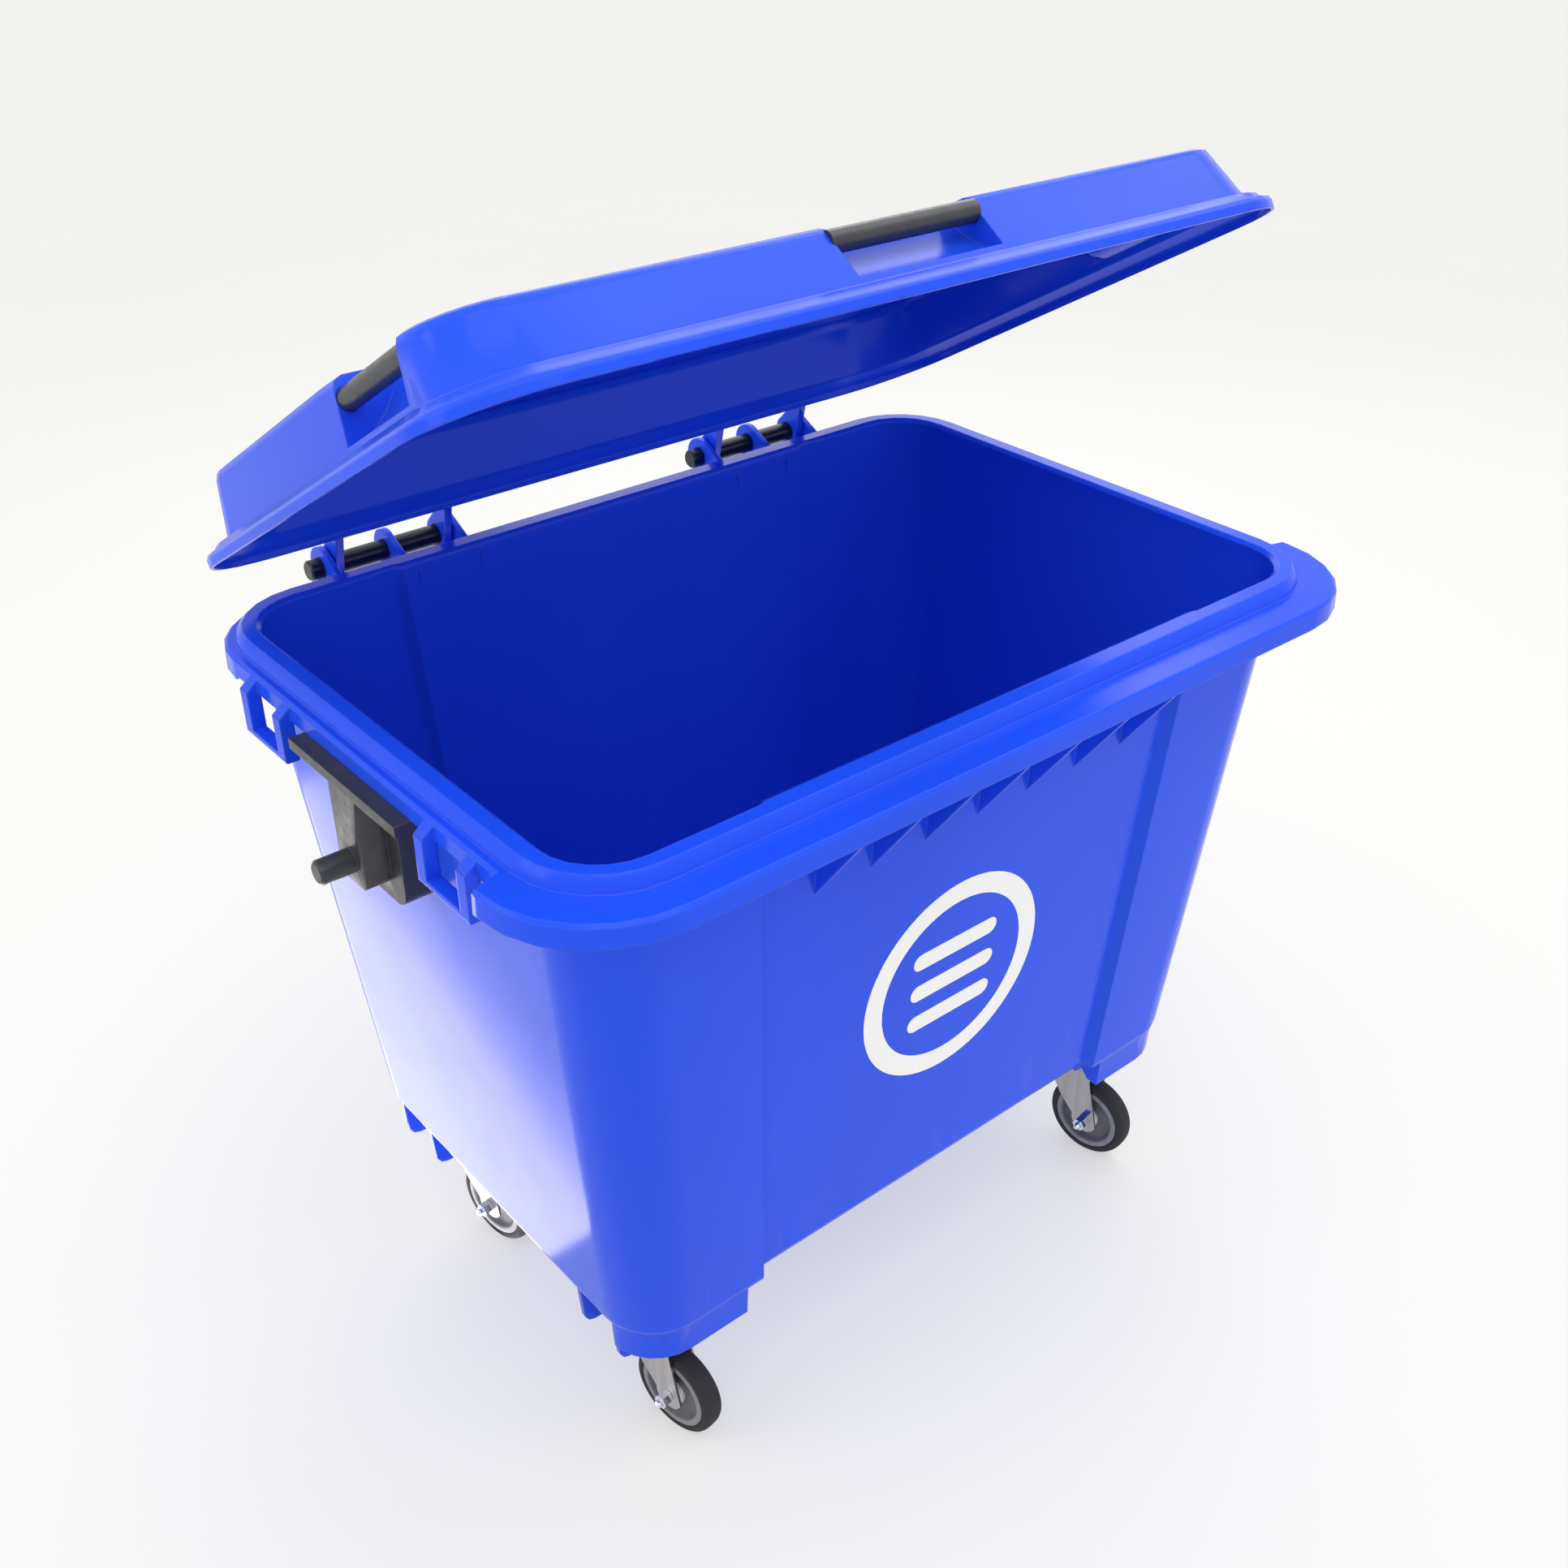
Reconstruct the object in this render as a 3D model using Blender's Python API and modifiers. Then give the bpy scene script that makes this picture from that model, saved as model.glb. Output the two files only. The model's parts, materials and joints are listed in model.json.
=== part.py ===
"""Four-wheeled waste container: moulded tub, hinged lid with three grab bars, lifting trunnions
and four swivel castors. Metres, +Z up, ground at z = 0, front towards -Y."""

from math import cos, pi, radians, sin

import bmesh
import bpy
from mathutils import Matrix, Vector

# ---------------------------------------------------------------- driving dimensions
FRAME_Y = -0.0175                      # places the middle of the whole object on the origin

RIM_HALF = (0.685, 0.484)              # outer edge of the rim flange, half sizes
RIM_RADIUS = 0.156
FLANGE_LOW, FLANGE_TOP = 1.037, 1.067
RIDGE_INSET, RIDGE_TOP = 0.051, 1.086
MOUTH_INSET = 0.085
END_STEP, END_STEP_SPAN = 0.035, 0.318     # flange set back between the corners of each end
END_RISE = 0.006                       # and its lower edge is this much higher there
BACK_STEP, BACK_STEP_SPAN = 0.035, 0.500   # and round the back corners and the hinge side
BACK_CORNER_TIGHTER = 0.029            # off the flange radius at the back corners
SKIN = 0.006                           # tub wall

WALL_TOP_HALF, WALL_TOP_RADIUS = (0.611, 0.405), 0.095
FOOT_HALF, FOOT_RADIUS = (0.538, 0.356), 0.084
FOOT_Z, FLOOR_Z = 0.278, 0.304
PANEL_DEPTH = 0.014                    # long sides are sunk between the corner pillars
PANEL_SPAN_TOP, PANEL_SPAN_FOOT = 0.372, 0.334
PANEL_RAMP = 0.010
PANEL_RAISE = 0.008                    # the sunk panels end this much above the pillars

GUSSET_COUNT, GUSSET_PITCH, GUSSET_THICK = 7, 0.0904, 0.007
GUSSET_TIP_Z, GUSSET_SLOPE = 0.910, 1.366

LOOP_Y, LOOP_WIDTH, LOOP_BAND = 0.217, 0.109, 0.019    # lashing loops under the end rims
LOOP_OUTER_X, LOOP_INNER_X = 0.6655, 0.6470
LOOP_KNEE_Z, LOOP_LOW, LOOP_BAR = 1.049, 0.987, 0.009

HINGE_X, HINGE_Y, HINGE_Z = 0.335, 0.490, 1.0711
PIN_RADIUS, PIN_BORE = 0.0150, 0.0152
PIN_FROM, PIN_TO = -0.1240, 0.1100     # ends of a hinge pin, from the middle of its hinge
EAR_RADIUS, EAR_THICK, EAR_X = 0.030, 0.009, 0.100
LID_EAR_RADIUS, LID_EAR_THICK, LID_EAR_X = 0.0255, 0.012, 0.086

LID_OPEN = radians(30)                 # the lid stands open by this angle at rest
LID_CENTRE_Y, LIP_Z = -0.0034, 1.0972  # with the lid shut
LIP_HALF, LIP_RADIUS = (0.6407, 0.4399), 0.1267
DOME_FOOT_HALF, DOME_FOOT_RADIUS, DOME_FOOT_H = (0.607, 0.4095), 0.098, 0.031
DOME_TOP_X, DOME_TOP_FRONT, DOME_TOP_BACK, DOME_TOP_RADIUS = 0.599, 0.381, 0.389, 0.088
ROOF_BACK_H, ROOF_FRONT_H, ROOF_CREASE_Y = 0.114, 0.104, -0.070
ROOF_ROUND = 0.014
LID_SKIN = 0.004

FRONT_POCKET_HALF, END_POCKET_HALF, END_POCKET_Y = 0.110, 0.086, -0.206
POCKET_REACH = 0.088                   # how far a grab pocket runs in from the dome wall
GRAB_RADIUS, GRAB_H = 0.0138, 0.0865
FRONT_GRAB_Y, END_GRAB_X = -0.3735, 0.5855

TRUNNION_PLATE_HALF, TRUNNION_PLATE_THICK, TRUNNION_PLATE_TOP = 0.129, 0.014, 1.0425
TRUNNION_FACE_X, TRUNNION_BACK_X = 0.671, 0.637
TRUNNION_BOSS_HALF, TRUNNION_BOSS_LOW = 0.0320, 0.900
TRUNNION_PAD_HALF, TRUNNION_PAD_LOW = 0.061, 0.875
TRUNNION_PIN_RADIUS, TRUNNION_PIN_Z, TRUNNION_PIN_END = 0.0160, 0.9325, 0.7165

CASTOR_AT = (0.437, 0.238)             # swivel axes
CASTOR_TRAIL, CASTOR_TURN = 0.044, radians(9.5)
PLATE_TOP, PLATE_SIZE, PLATE_THICK = 0.2400, (0.106, 0.068), 0.0040
PLATE_BOLT_AT = (0.0425, 0.0235)
KINGPIN_RADIUS, KINGPIN_BORE = 0.0060, 0.0062
WHEEL_RADIUS, TYRE_WIDTH = 0.0711, 0.0330
RIM_RING_RADIUS, RIM_RING_HALF = 0.0574, 0.0153
RIM_DISC_RADIUS, RIM_DISC_HALF = 0.0460, 0.0080
HUB_RADIUS, HUB_HALF, HUB_BORE = 0.0210, 0.0185, 0.0101
BUSH_RADIUS, BUSH_HALF, AXLE_RADIUS = 0.0100, 0.0193, 0.0060
FORK_GAP, FORK_THICK = 0.0196, 0.0035
FORK_TOP_Z, FORK_CROWN_HALF, FORK_EYE_RADIUS = 0.2100, 0.0310, 0.0235
FORK_SHOULDER_RADIUS = 0.0342          # the crown is rounded to turn between the fins
SKIRT_LOW, SKIRT_INSET, SKIRT_THICK = 0.229, 0.004, 0.007
SKIRT_X, SKIRT_Y = 0.358, 0.279
FIN_LOW, FIN_THICK, FIN_Y = 0.201, 0.008, (0.1993, 0.2826)

GAP = 0.0003                           # between pieces that touch
STEPS = 24                             # sides of a wheel
CORNER_STEPS = 6                       # chords of a rounded corner

BLUE = (0.030, 0.080, 0.750)
GREY_PLASTIC = (0.045, 0.050, 0.056)


# ---------------------------------------------------------------- scene and materials
def clear_scene():
    for obj in list(bpy.data.objects):
        bpy.data.objects.remove(obj, do_unlink=True)


def make_collection(name):
    made = bpy.data.collections.new(name)
    bpy.context.scene.collection.children.link(made)
    return made


def material(name, colour, roughness, metallic=0.0):
    made = bpy.data.materials.get(name)
    if made is None:
        made = bpy.data.materials.new(name)
        made.use_nodes = True
        shader = made.node_tree.nodes["Principled BSDF"]
        shader.inputs["Base Color"].default_value = (*colour, 1.0)
        shader.inputs["Roughness"].default_value = roughness
        shader.inputs["Metallic"].default_value = metallic
        made.diffuse_color = (*colour, 1.0)
    return made


def blue_plastic():
    return material("blue_plastic", BLUE, 0.30)


def dark_plastic():
    return material("dark_grey_casting", GREY_PLASTIC, 0.45)


def zinc_steel():
    return material("zinc_plated_steel", (0.62, 0.61, 0.60), 0.22, 1.0)


def rim_grey():
    return material("grey_wheel_plastic", (0.19, 0.19, 0.21), 0.45)


def rubber():
    return material("black_rubber", (0.018, 0.019, 0.022), 0.55)


# ---------------------------------------------------------------- shape helpers
def add_object(name, mesh, into, finish=None, at=(0, 0, 0), turn=None, parent=None):
    obj = bpy.data.objects.new(name, mesh)
    into.objects.link(obj)
    obj.location = at
    if turn is not None:
        obj.rotation_euler = turn
    obj.parent = parent
    if finish is not None:
        mesh.materials.clear()
        mesh.materials.append(finish)
    mesh.shade_smooth()
    mesh.set_sharp_from_angle(angle=radians(35))
    return obj


def mesh_from(build, name="shape"):
    """A mesh filled by build(bm), with its normals pointing out."""
    bm = bmesh.new()
    build(bm)
    bmesh.ops.triangulate(bm, faces=bm.faces)
    bmesh.ops.recalc_face_normals(bm, faces=bm.faces)
    mesh = bpy.data.meshes.new(name)
    bm.to_mesh(mesh)
    bm.free()
    return mesh


def box_mesh(low, high):
    """An upright box between two corners."""
    size = Vector(high) - Vector(low)
    middle = (Vector(high) + Vector(low)) / 2
    place = Matrix.Translation(middle) @ Matrix.Diagonal((*size, 1.0))
    return mesh_from(lambda bm: bmesh.ops.create_cube(bm, size=1.0, matrix=place))


def rod_mesh(radius, start, end, sides=20):
    """A round rod between two points."""
    start, end = Vector(start), Vector(end)
    run = end - start
    turn = Vector((0, 0, 1)).rotation_difference(run).to_matrix().to_4x4()
    place = Matrix.Translation((start + end) / 2) @ turn
    return mesh_from(lambda bm: bmesh.ops.create_cone(
        bm, cap_ends=True, segments=sides, radius1=radius, radius2=radius,
        depth=run.length, matrix=place))


def evaluated_mesh(obj):
    graph = bpy.context.evaluated_depsgraph_get()
    return bpy.data.meshes.new_from_object(obj.evaluated_get(graph))


def welded_mesh(data, modify=None):
    """The closed mesh that a curve or a modified mesh evaluates to, with its loose caps welded."""
    obj = bpy.data.objects.new("guide", data)
    bpy.context.scene.collection.objects.link(obj)
    if modify is not None:
        modify(obj)
    bpy.context.view_layer.update()
    made = evaluated_mesh(obj)
    bpy.data.objects.remove(obj, do_unlink=True)

    def build(bm):
        bm.from_mesh(made)
        bmesh.ops.remove_doubles(bm, verts=bm.verts, dist=1e-5)
    return mesh_from(build)


PRISM_TURNS = {"X": Matrix(((0, 0, 1), (1, 0, 0), (0, 1, 0))),
               "Y": Matrix(((1, 0, 0), (0, 0, -1), (0, 1, 0))),
               "Z": Matrix.Identity(3)}


def prism_mesh(outline, low, high, axis="X"):
    """A flat outline extruded along an axis. Its points are (y, z) for X and (x, z) for Y."""
    curve = bpy.data.curves.new("outline", "CURVE")
    curve.dimensions = "2D"
    curve.fill_mode = "BOTH"
    curve.extrude = (high - low) / 2
    spline = curve.splines.new("POLY")
    spline.points.add(len(outline) - 1)
    for point, place in zip(spline.points, outline):
        point.co = (*place, 0, 1)
    spline.use_cyclic_u = True
    mesh = welded_mesh(curve)
    mesh.transform(PRISM_TURNS[axis].to_4x4())
    shift = Vector((0, 0, 0))
    shift["XYZ".index(axis)] = (low + high) / 2
    mesh.transform(Matrix.Translation(shift))
    return mesh


def arc(centre, radius, start, end, steps):
    """Points on an arc, angles in degrees."""
    found = []
    for i in range(steps + 1):
        angle = radians(start + (end - start) * i / steps)
        found.append((centre[0] + radius * cos(angle), centre[1] + radius * sin(angle)))
    return found


def turned_mesh(profile, steps=STEPS):
    """A profile of (radius, height) turned about Z. A closed profile makes a ring."""
    on_axis = profile[0][0] == profile[-1][0] == 0.0
    count = len(profile)
    edges = [(i, i + 1) for i in range(count - 1)] + ([] if on_axis else [(count - 1, 0)])
    line = bpy.data.meshes.new("profile")
    line.from_pydata([(r, 0, h) for r, h in profile], edges, [])

    def screw(obj):
        turn = obj.modifiers.new("turn", "SCREW")
        turn.steps = turn.render_steps = steps
        turn.use_merge_vertices = True
        turn.merge_threshold = 1e-5
    return welded_mesh(line, screw)


class Workshop:
    """Joins and cuts shapes, and keeps the cutters in their own collection."""

    def __init__(self, cutters):
        self.cutters = cutters
        self.count = 0

    def helper(self, mesh):
        self.count += 1
        obj = bpy.data.objects.new("shape_%03d" % self.count, mesh)
        self.cutters.objects.link(obj)
        obj.hide_render = True
        obj.display_type = "WIRE"
        return obj

    def combine(self, mesh, others, operation, solver="EXACT"):
        """One mesh from a mesh and others, joined by UNION or cut by DIFFERENCE."""
        for other in others:
            base, tool = self.helper(mesh), self.helper(other)
            change = base.modifiers.new("combine", "BOOLEAN")
            change.operation = operation
            change.solver = solver
            change.object = tool
            bpy.context.view_layer.update()
            mesh = evaluated_mesh(base)
            for used in (base, tool):
                bpy.data.objects.remove(used, do_unlink=True)
        return mesh

    def union(self, mesh, others, solver="EXACT"):
        return self.combine(mesh, others, "UNION", solver)

    def cut(self, mesh, others):
        return self.combine(mesh, others, "DIFFERENCE")


def mirrored(mesh, axis):
    """The mesh seen in a mirror at the X or Y plane."""
    copy = mesh.copy()
    scale = Matrix.Diagonal((-1 if axis == "X" else 1, -1 if axis == "Y" else 1, 1, 1))
    copy.transform(scale)
    copy.flip_normals()
    return copy


def moved(mesh, by):
    copy = mesh.copy()
    copy.transform(Matrix.Translation(by))
    return copy


def clean(mesh):
    """Drops the points and slivers that joining leaves behind."""
    bm = bmesh.new()
    bm.from_mesh(mesh)
    bmesh.ops.remove_doubles(bm, verts=bm.verts, dist=1e-5)
    bmesh.ops.dissolve_limit(bm, angle_limit=radians(0.05), verts=bm.verts, edges=bm.edges)
    bmesh.ops.triangulate(bm, faces=bm.faces)
    bm.to_mesh(mesh)
    bm.free()
    return mesh


# ---------------------------------------------------------------- lofted outlines
def corner(cx, cy, radius, start):
    return arc((cx, cy), radius, start, start + 90, CORNER_STEPS)


def side_marks(edge, *steps):
    """Places along a side. Each (span, depth) sets back the stretch inside that span."""
    half, depth = [], 0.0
    for span, step in steps:
        half += [(span, edge - depth), (span - PANEL_RAMP, edge - depth - step)]
        depth += step
    return [(-s, d) for s, d in half] + list(reversed(half))


def tub_ring(half, radius, panel=0.0, span=0.372, back=0.0, wide=0.420, ends=0.0, ends_span=0.250):
    """A rounded rectangle with sunk panels on its long sides. Between its front corners the ends
    can be set back, and with them both back corners and the back."""
    a, b = half
    end = side_marks(a, (ends_span, ends))
    end[-1] = (end[-1][0], a - ends)
    rear = side_marks(b - back, (wide, 0.0), (span, panel))
    front = side_marks(b, (wide, 0.0), (span, panel))
    tight = radius - (BACK_CORNER_TIGHTER if ends else 0.0)
    x, y = a - ends - tight, b - back - tight
    ring = [(d, s) for s, d in end] + corner(x, y, tight, 0)
    ring += [(-s, d) for s, d in rear] + corner(-x, y, tight, 90)
    ring += [(-d, s) for s, d in reversed(end)] + corner(-a + radius, -b + radius, radius, 180)
    ring += [(s, -d) for s, d in front] + corner(a - radius, -b + radius, radius, 270)
    return ring


def loft(bm, rings):
    """Joins rings of (x, y, z) points into a skin."""
    rows = [[bm.verts.new(p) for p in ring] for ring in rings]
    count = len(rows[0])
    for low, high in zip(rows, rows[1:]):
        for i in range(count):
            j = (i + 1) % count
            bm.faces.new((low[i], low[j], high[j], high[i]))
    return rows


def at_height(ring, z):
    return [(x, y, z) for x, y in ring]


# ---------------------------------------------------------------- tub
def between(low, high, share):
    return low + (high - low) * share


def wall_ring(z, inset=0.0, rise=0.0, tuck=0.0):
    """The tub wall at a height. The sunk panels can rise above it or tuck in behind it."""
    share = (z - FOOT_Z) / (FLANGE_LOW - FOOT_Z)
    half = tuple(between(f, t, share) - inset for f, t in zip(FOOT_HALF, WALL_TOP_HALF))
    radius = between(FOOT_RADIUS, WALL_TOP_RADIUS, share) - inset
    span = between(PANEL_SPAN_FOOT, PANEL_SPAN_TOP, share)
    wide, ends_span = between(0.420, BACK_STEP_SPAN, share), between(0.250, 0.300, share)
    flat = tub_ring(half, radius, PANEL_DEPTH, span, wide=wide, ends_span=ends_span)
    ring = []
    for x, y in flat:
        sunk = abs(x) < span - 0.002 and abs(y) > 0.2
        ring.append((x, y - tuck * sunk * (1 if y > 0 else -1), z + rise * sunk))
    return ring


def flange_ring(inset, z, end_rise=0.0):
    """The rim flange, set back behind its two front corners. Its lower edge can rise at the ends."""
    half = (RIM_HALF[0] - inset, RIM_HALF[1] - inset)
    ring = tub_ring(half, RIM_RADIUS - inset * 0.75, 0.0, 0.372, BACK_STEP, BACK_STEP_SPAN,
                    END_STEP, END_STEP_SPAN)
    edge = half[0] - END_STEP / 2
    return [(x, y, z + end_rise * (abs(x) < edge and abs(y) < END_STEP_SPAN - 0.008)) for x, y in ring]


def ridge_ring(inset, radius, z, panel=0.0):
    """A plain ring of the raised ridge round the mouth."""
    half = (RIM_HALF[0] - inset, RIM_HALF[1] - inset)
    return at_height(tub_ring(half, radius, panel, wide=BACK_STEP_SPAN, ends_span=0.300), z)


def tub_shell():
    """Tub wall, floor and rolled rim as one open-topped shell."""
    band = 0.006
    rings = [
        wall_ring(FOOT_Z, 0.006, 0.0, PANEL_RAISE),
        wall_ring(FOOT_Z + 0.004, 0.0012, PANEL_RAISE * 0.4, PANEL_RAISE * 0.3),
        wall_ring(FOOT_Z + 0.012, 0.0, PANEL_RAISE * 0.7),
        wall_ring(FLANGE_TOP - band),
        flange_ring(band, FLANGE_TOP - band),
        flange_ring(band, FLANGE_LOW, END_RISE),
        flange_ring(0.0, FLANGE_LOW, END_RISE),
        flange_ring(0.001, FLANGE_TOP - 0.004),
        flange_ring(0.005, FLANGE_TOP),
        ridge_ring(RIDGE_INSET - 0.002, 0.119, FLANGE_TOP),
        ridge_ring(RIDGE_INSET + 0.001, 0.117, RIDGE_TOP - 0.007),
        ridge_ring(RIDGE_INSET + 0.008, 0.110, RIDGE_TOP),
        ridge_ring(MOUTH_INSET - 0.006, 0.085, RIDGE_TOP, 0.003),
        ridge_ring(MOUTH_INSET, 0.080, RIDGE_TOP - 0.005, 0.006),
        wall_ring(FLANGE_LOW, SKIN),
        wall_ring(FLOOR_Z + 0.020, SKIN + 0.001),
        wall_ring(FLOOR_Z + 0.006, SKIN + 0.006),
        wall_ring(FLOOR_Z, SKIN + 0.018),
    ]

    def build(bm):
        rows = loft(bm, rings)
        bm.faces.new(list(reversed(rows[0])))
        bm.faces.new(rows[-1])
    return mesh_from(build)


def panel_y(z):
    """Outer face of a sunk panel at a height."""
    share = (z - FOOT_Z) / (FLANGE_LOW - FOOT_Z)
    return between(FOOT_HALF[1], WALL_TOP_HALF[1], share) - PANEL_DEPTH


def gusset_mesh(x, side, reach):
    """A triangular rib from a sunk panel up to the underside of the flange."""
    top, root = FLANGE_TOP - 0.003, SKIN / 2
    tip = panel_y(GUSSET_TIP_Z)
    outline = [(panel_y(GUSSET_TIP_Z - 0.005) - root, GUSSET_TIP_Z - 0.005),
               (reach, GUSSET_TIP_Z + GUSSET_SLOPE * (reach - tip)), (reach, top), (panel_y(top) - root, top)]
    outline = [(side * y, z) for y, z in outline]
    return prism_mesh(outline, x - GUSSET_THICK / 2, x + GUSSET_THICK / 2)


def gussets():
    places = [(i - (GUSSET_COUNT - 1) / 2) * GUSSET_PITCH for i in range(GUSSET_COUNT)]
    front = [gusset_mesh(x, -1, RIM_HALF[1] - 0.0035) for x in places]
    back = [gusset_mesh(x, 1, RIM_HALF[1] - BACK_STEP - 0.0035) for x in places]
    return front + back


def lashing_loop(x_side, y_side):
    """A U of flat bar under the end rim: two legs with sloping shoulders and a bar below."""
    half, inner = LOOP_WIDTH / 2, LOOP_WIDTH / 2 - LOOP_BAND
    side = [(LOOP_INNER_X, FLANGE_TOP - 0.003), (LOOP_OUTER_X, LOOP_KNEE_Z),
            (LOOP_OUTER_X, LOOP_LOW + 0.002), (LOOP_OUTER_X - 0.002, LOOP_LOW), (LOOP_INNER_X, LOOP_LOW)]
    side = [(x_side * x, z) for x, z in side]
    middle = y_side * LOOP_Y
    solid = prism_mesh(side, middle - half, middle + half, "Y")
    x_low, x_high = sorted((x_side * 0.60, x_side * 0.70))
    window = box_mesh((x_low, middle - inner, LOOP_LOW + LOOP_BAR),
                      (x_high, middle + inner, FLANGE_TOP + 0.01))
    return solid, window


def loops(shop):
    made = []
    for x_side in (-1, 1):
        for y_side in (-1, 1):
            solid, window = lashing_loop(x_side, y_side)
            made.append(shop.cut(solid, [window]))
    return made


def hinge_ears(shop):
    """Three bored ears for each hinge, on webs that run down the back wall."""
    bore = rod_mesh(PIN_BORE, (-0.5, HINGE_Y, HINGE_Z), (0.5, HINGE_Y, HINGE_Z), 24)
    made = []
    for x in [side * HINGE_X + offset for side in (-1, 1) for offset in (-EAR_X, 0.0, EAR_X)]:
        root_y = WALL_TOP_HALF[1] - SKIN / 2 - PANEL_DEPTH * (abs(x) < PANEL_SPAN_TOP)
        outline = arc((HINGE_Y, HINGE_Z), EAR_RADIUS, -38, 125, 12)
        outline += [(RIM_HALF[1] - RIDGE_INSET - 0.004, RIDGE_TOP - 0.013), (root_y, RIDGE_TOP - 0.015),
                    (root_y - 0.005, 0.952)]
        ear = prism_mesh(outline, x - EAR_THICK / 2, x + EAR_THICK / 2)
        made.append(shop.cut(ear, [bore]))
    return made


def skirts(shop):
    """Short walls under the corner pillars."""
    def ring(inset, z):
        half = (FOOT_HALF[0] - inset, FOOT_HALF[1] - inset)
        return at_height(tub_ring(half, FOOT_RADIUS - inset, ends_span=0.20), z)

    def block(inset, low, high, flare):
        def build(bm):
            rows = loft(bm, [ring(inset + flare, low), ring(inset, high)])
            bm.faces.new(list(reversed(rows[0])))
            bm.faces.new(rows[-1])
        return mesh_from(build)
    wall = block(SKIRT_INSET, SKIRT_LOW, FOOT_Z + 0.010, 0.003)
    hollow = block(SKIRT_INSET + SKIRT_THICK, SKIRT_LOW - 0.01, FOOT_Z + 0.02, 0.003)
    wall = shop.cut(wall, [hollow])
    far = 0.8
    wall = shop.cut(wall, [box_mesh((-SKIRT_X, -far, 0.1), (SKIRT_X, far, 0.5)),
                           box_mesh((-far, -SKIRT_Y, 0.1), (far, SKIRT_Y, 0.5))])
    return wall


def corner_bracing():
    """Castor pad, side wall and two fins under one corner."""
    x, y = CASTOR_AT
    fin_x = FOOT_HALF[0] - 0.0045
    fin_in = x - 0.062
    top = FLOOR_Z - 0.008
    tilt = 0.006
    made = [box_mesh((fin_in, FIN_Y[0], PLATE_TOP + GAP), (x + 0.058, FIN_Y[1], top))]
    for fin_y in FIN_Y:
        outline = [(fin_in, top), (fin_in, FIN_LOW + 0.012), (fin_in + 0.006, FIN_LOW + 0.003),
                   (fin_in + 0.014, FIN_LOW), (fin_x - tilt - 0.016, FIN_LOW),
                   (fin_x - tilt - 0.006, FIN_LOW + 0.004), (fin_x - tilt, FIN_LOW + 0.014), (fin_x, top)]
        made.append(prism_mesh(outline, fin_y - FIN_THICK / 2, fin_y + FIN_THICK / 2, "Y"))
    wall_y = FOOT_HALF[1] - SKIRT_INSET - 0.002
    outline = [(wall_y - 0.058, top), (wall_y - 0.048, SKIRT_LOW + 0.030), (wall_y - 0.020, SKIRT_LOW),
               (wall_y - 0.003, SKIRT_LOW), (wall_y, top)]
    made.append(prism_mesh(outline, SKIRT_X, SKIRT_X + 0.008))
    return made


def bracing():
    made = []
    for flips in ((), ("X",), ("Y",), ("X", "Y")):
        for mesh in corner_bracing():
            for axis in flips:
                mesh = mirrored(mesh, axis)
            made.append(mesh)
    return made


def separate_bodies(mesh):
    """One mesh for each loose body of a mesh."""
    bm = bmesh.new()
    bm.from_mesh(mesh)
    bm.verts.ensure_lookup_table()
    left, made = set(bm.verts), []
    while left:
        body, edge = set(), [next(iter(left))]
        while edge:
            vert = edge.pop()
            if vert in body:
                continue
            body.add(vert)
            edge += [e.other_vert(vert) for e in vert.link_edges]
        left -= body
        part = bm.copy()
        part.verts.ensure_lookup_table()
        keep = {v.index for v in body}
        bmesh.ops.delete(part, geom=[v for v in part.verts if v.index not in keep], context="VERTS")
        one = bpy.data.meshes.new("body")
        part.to_mesh(one)
        part.free()
        made.append(one)
    bm.free()
    return made


def make_tub(shop, parts, frame):
    additions = gussets() + loops(shop) + hinge_ears(shop) + bracing()
    additions += separate_bodies(skirts(shop))
    # EXACT loses the shell when the first hinge ear is joined, so this union is MANIFOLD.
    mesh = clean(shop.union(tub_shell(), additions, "MANIFOLD"))
    return add_object("tub", mesh, parts, blue_plastic(), parent=frame)


# ---------------------------------------------------------------- lid
def lid_ring(x_half, front, back, radius, height, crease):
    """A rounded rectangle of the lid, whose end sides hold a point on the roof crease."""
    marks = [(x_half, crease)]
    ring = marks + corner(x_half - radius, back - radius, radius, 0)
    ring += corner(-x_half + radius, back - radius, radius, 90)
    ring += [(-x_half, crease)]
    ring += corner(-x_half + radius, -front + radius, radius, 180)
    ring += corner(x_half - radius, -front + radius, radius, 270)
    return [(x, y, height(y)) for x, y in ring]


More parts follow.
